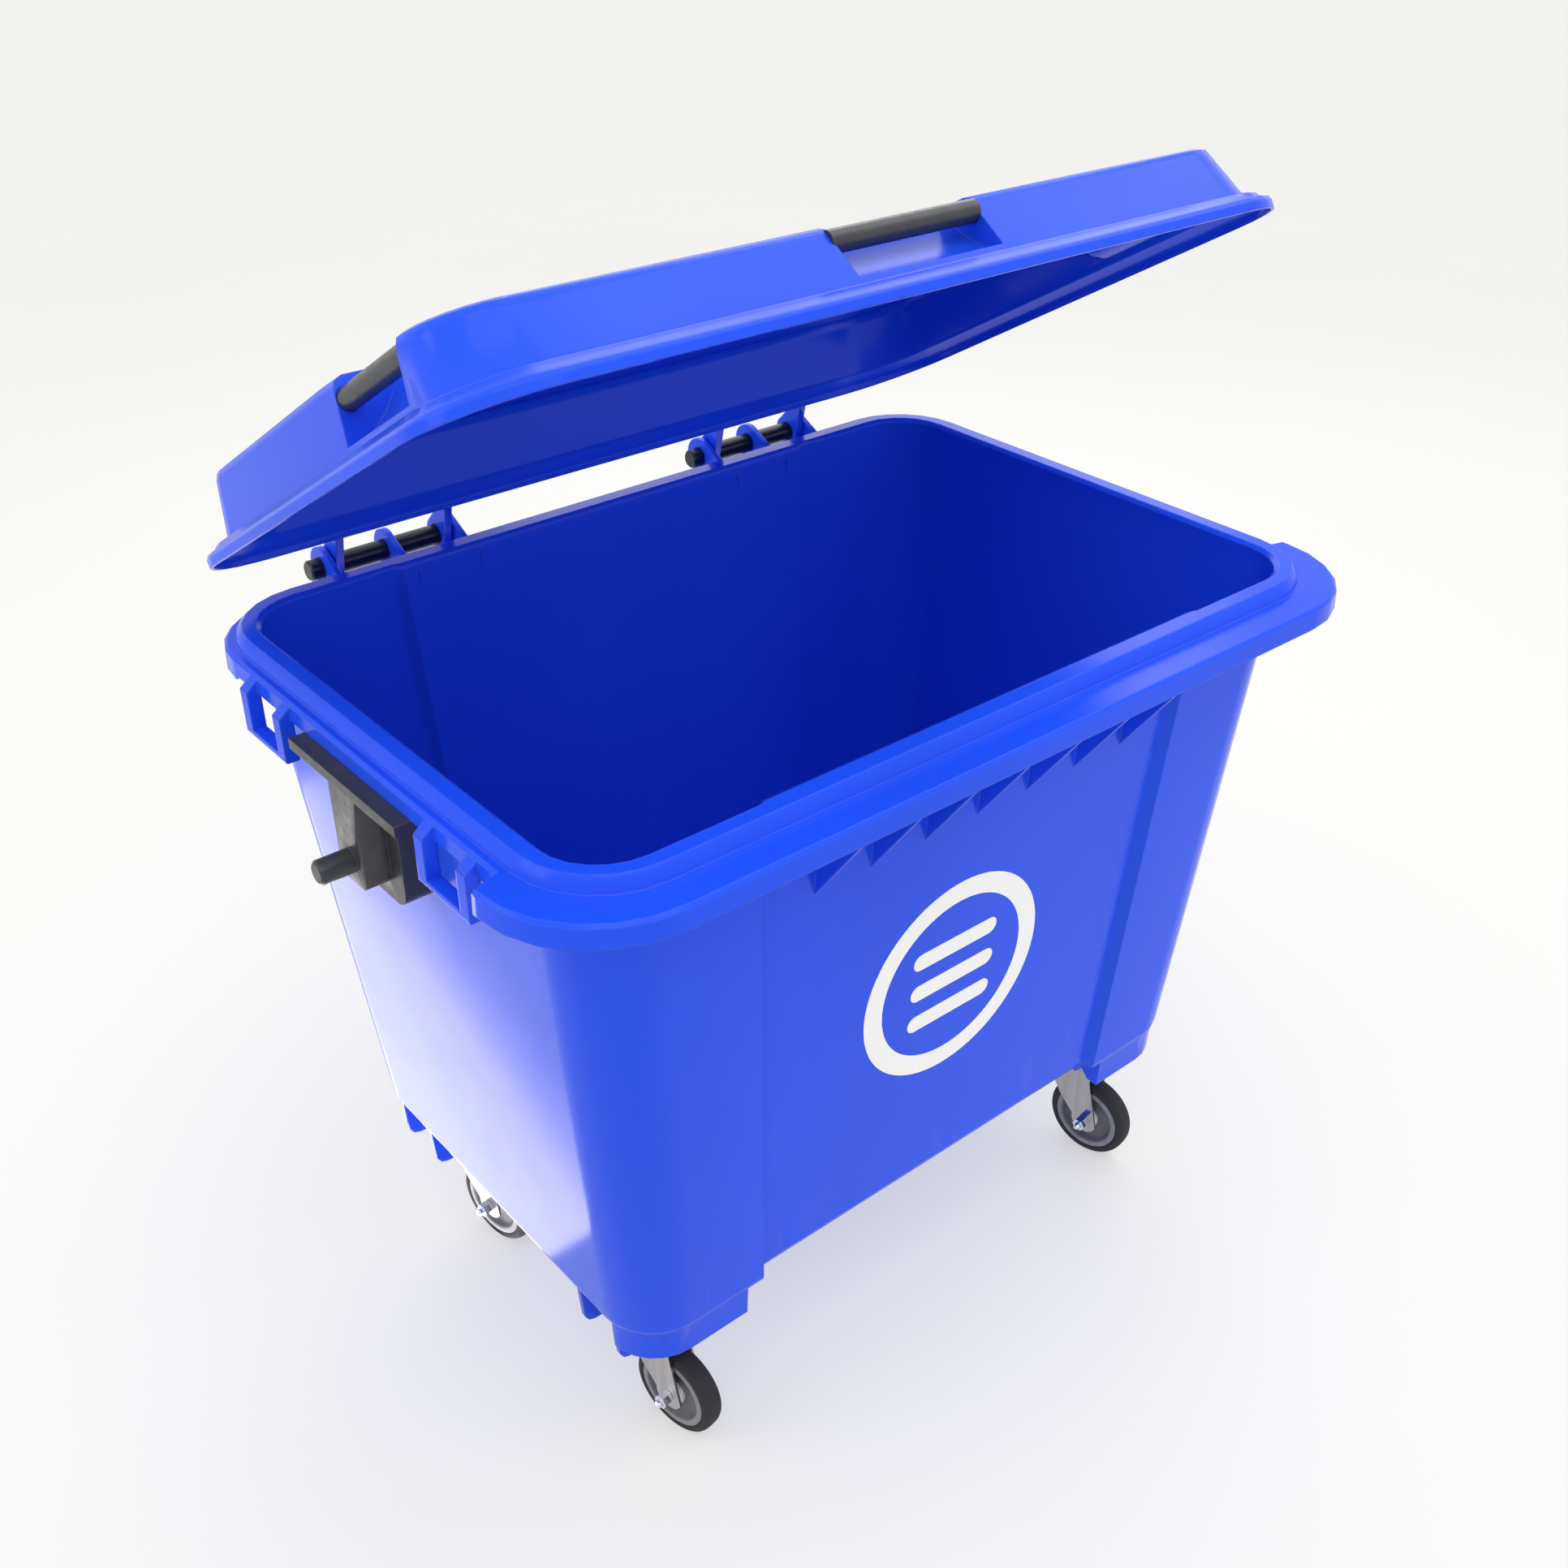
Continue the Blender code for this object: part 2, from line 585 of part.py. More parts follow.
def lid_solid(skin):
    """The lid as a solid, drawn in by skin. With skin above zero it is the lid's hollow."""
    def flat(h):
        return lambda y: h

    def roof(drop):
        slope = (ROOF_BACK_H - ROOF_FRONT_H) / (DOME_TOP_FRONT + ROOF_CREASE_Y)
        return lambda y: ROOF_BACK_H - skin - drop + min(0.0, (y - ROOF_CREASE_Y) * slope)

    def ring(x_half, front, back, radius, height):
        return lid_ring(x_half - skin, front - skin, back - skin, max(radius - skin, 0.01),
                        height, ROOF_CREASE_Y)

    lip_x, lip_y = LIP_HALF
    foot_x, foot_y = DOME_FOOT_HALF
    top = (DOME_TOP_X, DOME_TOP_FRONT, DOME_TOP_BACK, DOME_TOP_RADIUS)

    def inset_top(by):
        return (top[0] - by, top[1] - by, top[2] - by, top[3] - by)
    under = skin * 0.8
    rings = [
        ring(lip_x, lip_y, lip_y, LIP_RADIUS, flat(0.0 if skin == 0 else -0.01)),
        ring(lip_x, lip_y, lip_y, LIP_RADIUS, flat(0.011 - under)),
        ring(lip_x - 0.003, lip_y - 0.003, lip_y - 0.003, LIP_RADIUS - 0.003, flat(0.0165 - under)),
        ring(lip_x - 0.012, lip_y - 0.011, lip_y - 0.011, LIP_RADIUS - 0.011, flat(0.0190 - under)),
        ring(lip_x - 0.018, lip_y - 0.016, lip_y - 0.016, LIP_RADIUS - 0.016, flat(0.0260 - under)),
        ring(foot_x, foot_y, foot_y, DOME_FOOT_RADIUS, flat(DOME_FOOT_H - under)),
        ring(*top, roof(ROOF_ROUND)),
        ring(*inset_top(ROOF_ROUND * 0.30), roof(ROOF_ROUND * 0.30)),
        ring(*inset_top(ROOF_ROUND), roof(0.0)),
    ]

    def build(bm):
        rows = loft(bm, rings)
        bm.faces.new(list(reversed(rows[0])))
        cap = rows[-1]
        half = cap.index(cap[0])
        middle = next(i for i in range(1, len(cap)) if abs(cap[i].co.y - ROOF_CREASE_Y) < 1e-6)
        bm.faces.new(cap[half:middle + 1])
        bm.faces.new(cap[middle:] + [cap[0]])
    mesh = mesh_from(build)
    mesh.transform(Matrix.Translation((0, LID_CENTRE_Y, LIP_Z)))
    return mesh


def pocket_mesh(half, wall, grow):
    """A grab pocket behind the dome wall of the front, with a coved back. Grow adds the skin."""
    foot = DOME_FOOT_H + 0.006
    reach = POCKET_REACH
    outline = [(-wall - 0.03, foot - grow), (-wall + 0.010 + grow, foot - grow)]
    outline += [(-wall + 0.034 + grow, foot + 0.008 - grow), (-wall + 0.058 + grow, foot + 0.028 - grow),
                (-wall + 0.078 + grow, foot + 0.052 - grow), (-wall + reach + grow, ROOF_BACK_H + 0.02),
                (-wall - 0.03, ROOF_BACK_H + 0.02)]
    outline = [(y + LID_CENTRE_Y, h + LIP_Z) for y, h in outline]
    return prism_mesh(outline, -half - grow, half + grow)


def pocket_meshes(grow):
    """The three grab pockets: front, left end and right end."""
    front = pocket_mesh(FRONT_POCKET_HALF, DOME_FOOT_HALF[1], grow)
    made = [front]
    for side in (-1, 1):
        end = pocket_mesh(END_POCKET_HALF, DOME_FOOT_HALF[0], grow)
        end.transform(Matrix.Translation((0, -LID_CENTRE_Y, 0)))
        end.transform(Matrix.Rotation(side * pi / 2, 4, "Z"))
        end.transform(Matrix.Translation((0, END_POCKET_Y + LID_CENTRE_Y, 0)))
        made.append(end)
    return made


def lid_ears(shop):
    """Two bored ears for each hinge, from the back lip of the lid down round the pin."""
    bore = rod_mesh(PIN_BORE, (-0.5, HINGE_Y, HINGE_Z), (0.5, HINGE_Y, HINGE_Z), 24)
    back = LID_CENTRE_Y + LIP_HALF[1]
    outline = arc((HINGE_Y, HINGE_Z), LID_EAR_RADIUS, -112, 62, 12)
    outline += [(back - 0.006, LIP_Z + 0.0165), (back - 0.003, LIP_Z + 0.001)]
    ear = shop.cut(prism_mesh(outline, -LID_EAR_THICK / 2, LID_EAR_THICK / 2), [bore])
    return [moved(ear, (side * HINGE_X + offset, 0, 0))
            for side in (-1, 1) for offset in (-LID_EAR_X, LID_EAR_X)]


def lid_frame(frame, parts):
    """An empty on the hinge axis. Pieces of the lid are drawn shut and turn with it."""
    made = bpy.data.objects.new("lid_hinge", None)
    parts.objects.link(made)
    made.parent = frame
    made.location = (0, HINGE_Y, HINGE_Z)
    made.rotation_euler = (-LID_OPEN, 0, 0)
    return made


def about_hinge(mesh):
    mesh.transform(Matrix.Translation((0, -HINGE_Y, -HINGE_Z)))
    return mesh


def grab_bar(name, start, end, shop, parts, hinge):
    """A round grab bar let into the cheeks of its pocket."""
    mesh = rod_mesh(GRAB_RADIUS, start, end, 18)
    return add_object(name, about_hinge(mesh), parts, dark_plastic(), parent=hinge)


def make_lid(shop, parts, frame):
    hinge = lid_frame(frame, parts)
    outer = shop.cut(lid_solid(0.0), pocket_meshes(0.0))
    hollow = shop.cut(lid_solid(LID_SKIN), pocket_meshes(LID_SKIN))
    shell = shop.cut(outer, [hollow])
    shell = shop.union(shell, lid_ears(shop))
    z = LIP_Z + GRAB_H
    into = 0.0025
    front_y = LID_CENTRE_Y + FRONT_GRAB_Y
    end_y = LID_CENTRE_Y + END_POCKET_Y
    front_reach = FRONT_POCKET_HALF + into
    end_reach = END_POCKET_HALF + into
    bars = {"lid_grab_bar_front": ((-front_reach, front_y, z), (front_reach, front_y, z))}
    for side, word in ((-1, "left"), (1, "right")):
        x = side * END_GRAB_X
        bars["lid_grab_bar_" + word] = ((x, end_y - end_reach, z), (x, end_y + end_reach, z))
    seats = []
    for start, end in bars.values():
        run = (Vector(end) - Vector(start)).normalized() * GAP
        seats.append(rod_mesh(GRAB_RADIUS + GAP, Vector(start) - run, Vector(end) + run, 18))
    shell = clean(shop.cut(shell, seats))
    add_object("lid", about_hinge(shell), parts, blue_plastic(), parent=hinge)
    for name, (start, end) in bars.items():
        grab_bar(name, start, end, shop, parts, hinge)


def make_hinge_pins(parts, frame):
    """A chamfered rod through the ears of each hinge."""
    chamfer = 0.0025
    profile = [(0.0, PIN_TO), (PIN_RADIUS - chamfer, PIN_TO), (PIN_RADIUS, PIN_TO - chamfer),
               (PIN_RADIUS, PIN_FROM + chamfer), (PIN_RADIUS - chamfer, PIN_FROM), (0.0, PIN_FROM)]
    for side, word in ((-1, "left"), (1, "right")):
        add_object("hinge_pin_" + word, turned_mesh(profile, 20), parts, dark_plastic(),
                   at=(side * HINGE_X, HINGE_Y, HINGE_Z), turn=(0, pi / 2, 0), parent=frame)


# ---------------------------------------------------------------- trunnions
def trunnion_mesh(shop):
    """The right-hand lifting trunnion: top plate, pad on the end wall, boss and round pin."""
    low_share = (TRUNNION_PAD_LOW - FOOT_Z) / (FLANGE_LOW - FOOT_Z)
    top_share = (TRUNNION_PLATE_TOP - FOOT_Z) / (FLANGE_LOW - FOOT_Z)
    wall_low = between(FOOT_HALF[0], WALL_TOP_HALF[0], low_share) + GAP
    wall_top = between(FOOT_HALF[0], WALL_TOP_HALF[0], top_share) + GAP
    plate_low = TRUNNION_PLATE_TOP - TRUNNION_PLATE_THICK

    def slab(outline, x_from, x_to):
        return prism_mesh(outline, x_from, x_to)

    def tongue(half, low, radius):
        left = arc((-half + radius, low + radius), radius, 180, 270, 4)
        right = arc((half - radius, low + radius), radius, 270, 360, 4)
        return left + right + [(half, plate_low + 0.004), (-half, plate_low + 0.004)]
    plate = box_mesh((wall_top - 0.02, -TRUNNION_PLATE_HALF, plate_low),
                     (TRUNNION_FACE_X, TRUNNION_PLATE_HALF, TRUNNION_PLATE_TOP))
    pad = slab(tongue(TRUNNION_PAD_HALF, TRUNNION_PAD_LOW, 0.022), wall_low - 0.02, TRUNNION_BACK_X)
    boss = slab(tongue(TRUNNION_BOSS_HALF, TRUNNION_BOSS_LOW, 0.012),
                TRUNNION_BACK_X - 0.004, TRUNNION_FACE_X - 0.0005)
    end, chamfer = TRUNNION_PIN_END, 0.0035
    pin = turned_mesh([(0.0, end), (TRUNNION_PIN_RADIUS - chamfer, end),
                       (TRUNNION_PIN_RADIUS, end - chamfer),
                       (TRUNNION_PIN_RADIUS, TRUNNION_FACE_X - 0.008), (0.0, TRUNNION_FACE_X - 0.008)], 24)
    pin.transform(Matrix.Rotation(pi / 2, 4, "Y"))
    pin.transform(Matrix.Translation((0, 0, TRUNNION_PIN_Z)))
    body = shop.union(plate, [pad, boss, pin])
    lean = (wall_top - wall_low) / (TRUNNION_PLATE_TOP - TRUNNION_PAD_LOW)
    foot_x = wall_low - lean * 0.1
    head_x = wall_top + lean * 0.1
    wall = [(foot_x - 0.1, TRUNNION_PAD_LOW - 0.1), (foot_x, TRUNNION_PAD_LOW - 0.1),
            (head_x, TRUNNION_PLATE_TOP + 0.1), (head_x - 0.1, TRUNNION_PLATE_TOP + 0.1)]
    return shop.cut(body, [prism_mesh(wall, -0.2, 0.2, "Y")])


def make_trunnions(shop, parts, frame):
    right = clean(trunnion_mesh(shop))
    for word, mesh in (("right", right), ("left", mirrored(right, "X"))):
        add_object("trunnion_" + word, mesh, parts, dark_plastic(), parent=frame)


# ---------------------------------------------------------------- castors
def plate_mesh(shop):
    """Top plate with a round raceway below it and four bolt holes."""
    x, y = PLATE_SIZE[0] / 2, PLATE_SIZE[1] / 2
    cut = 0.010
    outline = [(-x + cut, -y), (x - cut, -y), (x, -y + cut), (x, y - cut),
               (x - cut, y), (-x + cut, y), (-x, y - cut), (-x, -y + cut)]
    low = PLATE_TOP - PLATE_THICK
    plate = prism_mesh(outline, low, PLATE_TOP, "Z")
    race = turned_mesh([(0.0, low + 0.001), (0.034, low + 0.001), (0.034, low - 0.006),
                        (0.029, low - 0.010), (0.0, low - 0.010)], 20)
    plate = shop.union(plate, [race])
    holes = [rod_mesh(0.0046, (sx * PLATE_BOLT_AT[0], sy * PLATE_BOLT_AT[1], low - 0.01),
                      (sx * PLATE_BOLT_AT[0], sy * PLATE_BOLT_AT[1], PLATE_TOP + 0.01), 10)
             for sx in (-1, 1) for sy in (-1, 1)]
    holes.append(rod_mesh(KINGPIN_BORE, (0, 0, low - 0.02), (0, 0, PLATE_TOP + 0.01), 16))
    return clean(shop.cut(plate, holes))


def bolt_mesh():
    """A short hex-headed bolt up through the plate."""
    low = PLATE_TOP - PLATE_THICK
    return turned_mesh([(0.0, PLATE_TOP - GAP), (0.0040, PLATE_TOP - GAP), (0.0040, low - GAP),
                        (0.0080, low - GAP), (0.0080, low - 0.0055), (0.0, low - 0.0055)], 6)


def kingpin_mesh():
    """The rivet that holds the fork under its plate."""
    head = FORK_TOP_Z - FORK_THICK - GAP
    return turned_mesh([(0.0, PLATE_TOP - 0.0005), (KINGPIN_RADIUS, PLATE_TOP - 0.0005),
                        (KINGPIN_RADIUS, head),
                        (0.0110, head), (0.0100, head - 0.0050), (0.0, head - 0.0060)], 12)


def fork_mesh(shop):
    """Crown with its lower raceway, and two legs that sweep back to the axle."""
    half = FORK_GAP + FORK_THICK
    crown_low = FORK_TOP_Z - FORK_THICK
    axle = (-CASTOR_TRAIL, WHEEL_RADIUS)
    outline = [(-FORK_CROWN_HALF - 0.006, crown_low - 0.010), (-FORK_CROWN_HALF, FORK_TOP_Z - 0.002),
               (-FORK_CROWN_HALF + 0.003, FORK_TOP_Z), (FORK_CROWN_HALF - 0.003, FORK_TOP_Z),
               (FORK_CROWN_HALF, FORK_TOP_Z - 0.002), (FORK_CROWN_HALF + 0.001, 0.180),
               (FORK_CROWN_HALF - 0.003, 0.152), (FORK_CROWN_HALF - 0.012, 0.126),
               (FORK_CROWN_HALF - 0.027, 0.102)]
    outline = list(reversed(outline)) + arc(axle, FORK_EYE_RADIUS, 197, 368, 10)
    solid = prism_mesh(outline, -half, half)
    slot = box_mesh((-FORK_GAP, -0.2, 0.0), (FORK_GAP, 0.2, crown_low))
    fork = shop.cut(solid, [slot])
    race = turned_mesh([(0.0, 0.2252), (0.027, 0.2252), (0.031, 0.2200), (0.031, FORK_TOP_Z - 0.001),
                        (0.0, FORK_TOP_Z - 0.001)], 20)
    fork = shop.union(fork, [race])
    shoulder = turned_mesh([(FORK_SHOULDER_RADIUS, 0.220), (0.060, 0.220), (0.060, FIN_LOW - 0.002),
                            (FORK_SHOULDER_RADIUS, FIN_LOW - 0.002)])
    bores = [shoulder, rod_mesh(0.0066, (0, 0, 0.15), (0, 0, 0.26), 12),
             rod_mesh(AXLE_RADIUS + GAP, (-0.05, axle[0], axle[1]), (0.05, axle[0], axle[1]), 16)]
    return clean(shop.cut(fork, bores))


def wheel_rim_mesh():
    """Rim, web and hub turned in one piece, bored for its bush."""
    ring, disc, hub = RIM_RING_HALF, RIM_DISC_HALF, HUB_HALF
    upper = [(HUB_BORE, hub), (HUB_RADIUS - 0.0015, hub), (HUB_RADIUS, hub - 0.0015),
             (HUB_RADIUS, disc), (RIM_DISC_RADIUS - 0.004, disc), (RIM_DISC_RADIUS, ring),
             (RIM_RING_RADIUS - 0.0005, ring)]
    return turned_mesh(upper + [(r, -h) for r, h in reversed(upper)])


def tyre_mesh():
    """A rubber tyre with rounded shoulders round the rim."""
    inner, outer, half = RIM_RING_RADIUS - 0.0002, WHEEL_RADIUS, TYRE_WIDTH / 2
    upper = [(inner, half - 0.0022), (inner + 0.0015, half - 0.0008), (outer - 0.010, half),
             (outer - 0.0045, half - 0.0030), (outer - 0.0012, half - 0.0075), (outer, half - 0.0125)]
    return turned_mesh(upper + [(r, -h) for r, h in reversed(upper)])


def bush_mesh():
    return turned_mesh([(AXLE_RADIUS + GAP, BUSH_HALF), (BUSH_RADIUS, BUSH_HALF),
                        (BUSH_RADIUS, -BUSH_HALF), (AXLE_RADIUS + GAP, -BUSH_HALF)], 12)


def axle_bolt_mesh(shop):
    """Hex-headed axle bolt along Z, with a domed end beyond its nut."""
    grip = FORK_GAP + FORK_THICK + GAP
    shank = turned_mesh([(0.0, 0.0495), (0.0035, 0.0485), (AXLE_RADIUS - 0.0006, 0.0450),
                         (AXLE_RADIUS, 0.0435), (AXLE_RADIUS, -grip - 0.002), (0.0, -grip - 0.002)], 12)
    head = rod_mesh(0.0105, (0, 0, -grip - 0.0075), (0, 0, -grip), 6)
    return shop.union(shank, [head])


def axle_nut_mesh(shop):
    """A long hex nut on the outer end of the axle."""
    grip = FORK_GAP + FORK_THICK + GAP
    nut = rod_mesh(0.0110, (0, 0, grip), (0, 0, grip + 0.0165), 6)
    return shop.cut(nut, [rod_mesh(AXLE_RADIUS + GAP, (0, 0, 0), (0, 0, 0.06), 12)])


def make_castors(shop, parts, frame):
    """Four castors, all trailing the same way, each with its own pieces."""
    plate, fork, kingpin, bolt = plate_mesh(shop), fork_mesh(shop), kingpin_mesh(), bolt_mesh()
    axle = {"wheel_rim": (wheel_rim_mesh(), rim_grey()), "tyre": (tyre_mesh(), rubber()),
            "hub_bush": (bush_mesh(), zinc_steel()), "axle_bolt": (clean(axle_bolt_mesh(shop)), zinc_steel()),
            "axle_nut": (clean(axle_nut_mesh(shop)), zinc_steel())}
    steel = zinc_steel()
    for x_side, y_side, word in ((-1, -1, "front_left"), (1, -1, "front_right"),
                                 (-1, 1, "back_left"), (1, 1, "back_right")):
        at = (x_side * CASTOR_AT[0], y_side * CASTOR_AT[1], 0)
        add_object("castor_plate_" + word, plate.copy(), parts, steel, at=at, parent=frame)
        swivel = bpy.data.objects.new("swivel_" + word, None)
        parts.objects.link(swivel)
        swivel.parent = frame
        swivel.location = at
        swivel.rotation_euler = (0, 0, CASTOR_TURN)
        add_object("kingpin_" + word, kingpin.copy(), parts, steel, parent=swivel)
        add_object("fork_" + word, fork.copy(), parts, steel, parent=swivel)
        for name, (mesh, finish) in axle.items():
            add_object(name + "_" + word, mesh.copy(), parts, finish, parent=swivel,
                       at=(0, -CASTOR_TRAIL, WHEEL_RADIUS), turn=(0, -pi / 2, 0))
        for i, (sx, sy) in enumerate(((-1, -1), (1, -1), (1, 1), (-1, 1))):
            place = (at[0] + sx * PLATE_BOLT_AT[0], at[1] + sy * PLATE_BOLT_AT[1], 0)
            add_object("plate_bolt_%s_%d" % (word, i + 1), bolt.copy(), parts, steel,
                       at=place, parent=frame)


def main():
    clear_scene()
    parts = make_collection("four_wheel_bin")
    cutters = make_collection("cutters")
    cutters.hide_render = True
    frame = bpy.data.objects.new("bin_frame", None)
    parts.objects.link(frame)
    frame.location = (0, FRAME_Y, 0)
    shop = Workshop(cutters)
    make_tub(shop, parts, frame)
    make_lid(shop, parts, frame)
    make_hinge_pins(parts, frame)
    make_trunnions(shop, parts, frame)
    make_castors(shop, parts, frame)


main()
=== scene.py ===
"""Finished looks for a four-wheeled waste container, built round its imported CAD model."""

import json
from math import cos, pi, radians, sin

import bmesh
import bpy
from bpy.props import FloatProperty, FloatVectorProperty, IntProperty, PointerProperty
from mathutils import Matrix, Vector
from mathutils.bvhtree import BVHTree

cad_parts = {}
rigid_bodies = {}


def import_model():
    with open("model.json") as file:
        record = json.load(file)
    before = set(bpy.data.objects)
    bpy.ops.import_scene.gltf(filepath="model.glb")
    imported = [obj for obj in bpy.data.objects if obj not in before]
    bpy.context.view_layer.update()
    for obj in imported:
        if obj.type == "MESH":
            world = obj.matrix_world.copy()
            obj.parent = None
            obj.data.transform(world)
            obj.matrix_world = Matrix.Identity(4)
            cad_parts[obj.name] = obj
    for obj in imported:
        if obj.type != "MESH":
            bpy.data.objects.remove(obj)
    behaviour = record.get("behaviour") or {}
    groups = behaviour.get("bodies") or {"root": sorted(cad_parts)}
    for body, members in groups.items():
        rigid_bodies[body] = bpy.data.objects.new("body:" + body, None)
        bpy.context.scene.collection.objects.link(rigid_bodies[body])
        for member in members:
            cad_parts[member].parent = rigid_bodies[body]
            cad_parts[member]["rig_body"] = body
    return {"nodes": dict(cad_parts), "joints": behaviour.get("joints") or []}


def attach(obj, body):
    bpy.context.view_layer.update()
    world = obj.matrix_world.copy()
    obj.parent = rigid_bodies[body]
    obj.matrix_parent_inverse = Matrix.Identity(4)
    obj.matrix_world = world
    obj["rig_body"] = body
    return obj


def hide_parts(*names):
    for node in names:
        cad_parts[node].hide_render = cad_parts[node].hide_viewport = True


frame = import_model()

bl_info = {
    "name": "Waste Container Looks",
    "version": (1, 0, 0),
    "blender": (4, 5, 0),
    "location": "3D View > Sidebar > Container",
    "description": "Adds finished surfaces, wheels, a panel mark and a studio to the container",
    "category": "Object",
}

CORNERS = ("front_left", "front_right", "back_left", "back_right")

# gloss of the moulded plastic
PLASTIC_IOR, PLASTIC_SPECULAR = 1.46, 0.20

# radii that soften the edges of castings, sheet steel and rubber
CAST_EDGE, STEEL_EDGE, RUBBER_EDGE = 0.0016, 0.0009, 0.0008

# smallest angle between faces that stays a sharp edge, in degrees
SHARP, SHARP_METAL, SHARP_TURNED = 32.0, 28.0, 38.0

# floor: a hair below the wheels, and bright enough of its own to stay even
FLOOR_DROP, FLOOR_GLOW, FLOOR_GLOW_COLOUR = 0.0005, 0.495, (1.0, 0.998, 0.985, 1)

# sky
SKY_COLOUR, SKY_STRENGTH = (0.985, 0.985, 1.0, 1.0), 0.98

# soft square lamps: name, place, aim, side, power, colour
LAMPS = (
    ("key", (-0.3, -1.5, 4.8), (0, 0, 0.5), 4.2, 66, (1.0, 0.99, 0.98)),
    ("upper_right", (2.4, -0.5, 4.2), (0.2, -0.2, 1.0), 2.2, 20, (1.0, 0.99, 0.98)),
    ("side", (-3.0, 0.6, 2.2), (-0.5, 0.0, 1.0), 1.6, 14, (1.0, 0.97, 0.98)),
    ("rear", (2.3, 2.3, 3.1), (0.0, -0.3, 0.9), 2.6, 30, (0.96, 0.98, 1.0)),
)

# low lamp along the left end, which the end wall mirrors
BOUNCE_PLACE, BOUNCE_TURN = (-0.69, 0.80, 0.012), 8.9
BOUNCE_WIDTH, BOUNCE_LENGTH, BOUNCE_POWER = 0.30, 1.5, 4.2

CAMERA_PLACE, CAMERA_LENS, CAMERA_SENSOR = (-1.3550, -1.6352, 2.0787), 39.269, 36.0
CAMERA_DOWN, CAMERA_HEADING = 31.77, -39.94     # degrees below level, and about Z

# panel mark, as shares of its half height
RING_INSIDE, BAR_LENGTH, BAR_HEIGHT, BAR_LEVELS = 0.80, 0.96, 0.17, (0.34, 0.0, -0.34)
FILM_BACK, FILM_FACE = 0.00005, 0.00045         # how far the film's two sides stand off the panel


# ------------------------------------------------------------------ settings
class ContainerSettings(bpy.types.PropertyGroup):
    """Colours and sizes that the operators read."""

    plastic_colour: FloatVectorProperty(
        name="Tub colour", description="Moulded plastic of the tub and lid", subtype="COLOR",
        size=3, default=(0.0130, 0.0760, 0.785), min=0, max=1)
    plastic_roughness: FloatProperty(
        name="Tub roughness", description="Roughness of the moulded plastic",
        default=0.185, min=0, max=1)
    casting_colour: FloatVectorProperty(
        name="Casting colour", description="Trunnions and grab bars", subtype="COLOR",
        size=3, default=(0.030, 0.032, 0.036), min=0, max=1)
    pin_colour: FloatVectorProperty(
        name="Pin colour", description="Hinge pins", subtype="COLOR",
        size=3, default=(0.016, 0.017, 0.020), min=0, max=1)
    steel_colour: FloatVectorProperty(
        name="Fork colour", description="Plated steel of the castors", subtype="COLOR",
        size=3, default=(0.47, 0.45, 0.44), min=0, max=1)
    bright_colour: FloatVectorProperty(
        name="Bolt colour", description="Bright plating of nuts and bolts", subtype="COLOR",
        size=3, default=(0.74, 0.80, 0.86), min=0, max=1)
    rim_colour: FloatVectorProperty(
        name="Wheel rim colour", description="Plastic of the wheel rims", subtype="COLOR",
        size=3, default=(0.100, 0.102, 0.114), min=0, max=1)
    band_colour: FloatVectorProperty(
        name="Wheel band colour", description="Raised band round each wheel rim", subtype="COLOR",
        size=3, default=(0.185, 0.188, 0.205), min=0, max=1)
    # painted reflection: the hub's pale grey stands for the light the hub reflects, not the colour
    # of its plastic
    painted_hub_reflection_colour: FloatVectorProperty(
        name="Hub colour", description="Raised hub of each wheel", subtype="COLOR",
        size=3, default=(0.62, 0.64, 0.70), min=0, max=1)
    tyre_colour: FloatVectorProperty(
        name="Tyre colour", description="Rubber of the tyres", subtype="COLOR",
        size=3, default=(0.021, 0.022, 0.025), min=0, max=1)
    mark_colour: FloatVectorProperty(
        name="Mark colour", description="Film of the mark on the front panel", subtype="COLOR",
        size=3, default=(0.88, 0.88, 0.88), min=0, max=1)
    edge_round: FloatProperty(
        name="Edge rounding", description="Radius that softens the moulded edges",
        default=0.0034, min=0, max=0.02, unit="LENGTH")
    wheel_steps: IntProperty(
        name="Wheel steps", description="Sides of a turned wheel", default=64, min=16, max=256)
    mark_height: FloatProperty(
        name="Mark height", description="Overall height of the mark",
        default=0.320, min=0.01, unit="LENGTH")
    mark_level: FloatProperty(
        name="Mark level", description="Height of the middle of the mark above the ground",
        default=0.648, min=0, unit="LENGTH")
    mark_offset: FloatProperty(
        name="Mark offset", description="Distance from the panel's middle line to the mark's",
        default=-0.012, unit="LENGTH")
    floor_size: FloatProperty(
        name="Floor size", description="Side of the square floor", default=60.0, min=1,
        unit="LENGTH")


def settings():
    return bpy.context.scene.container_looks


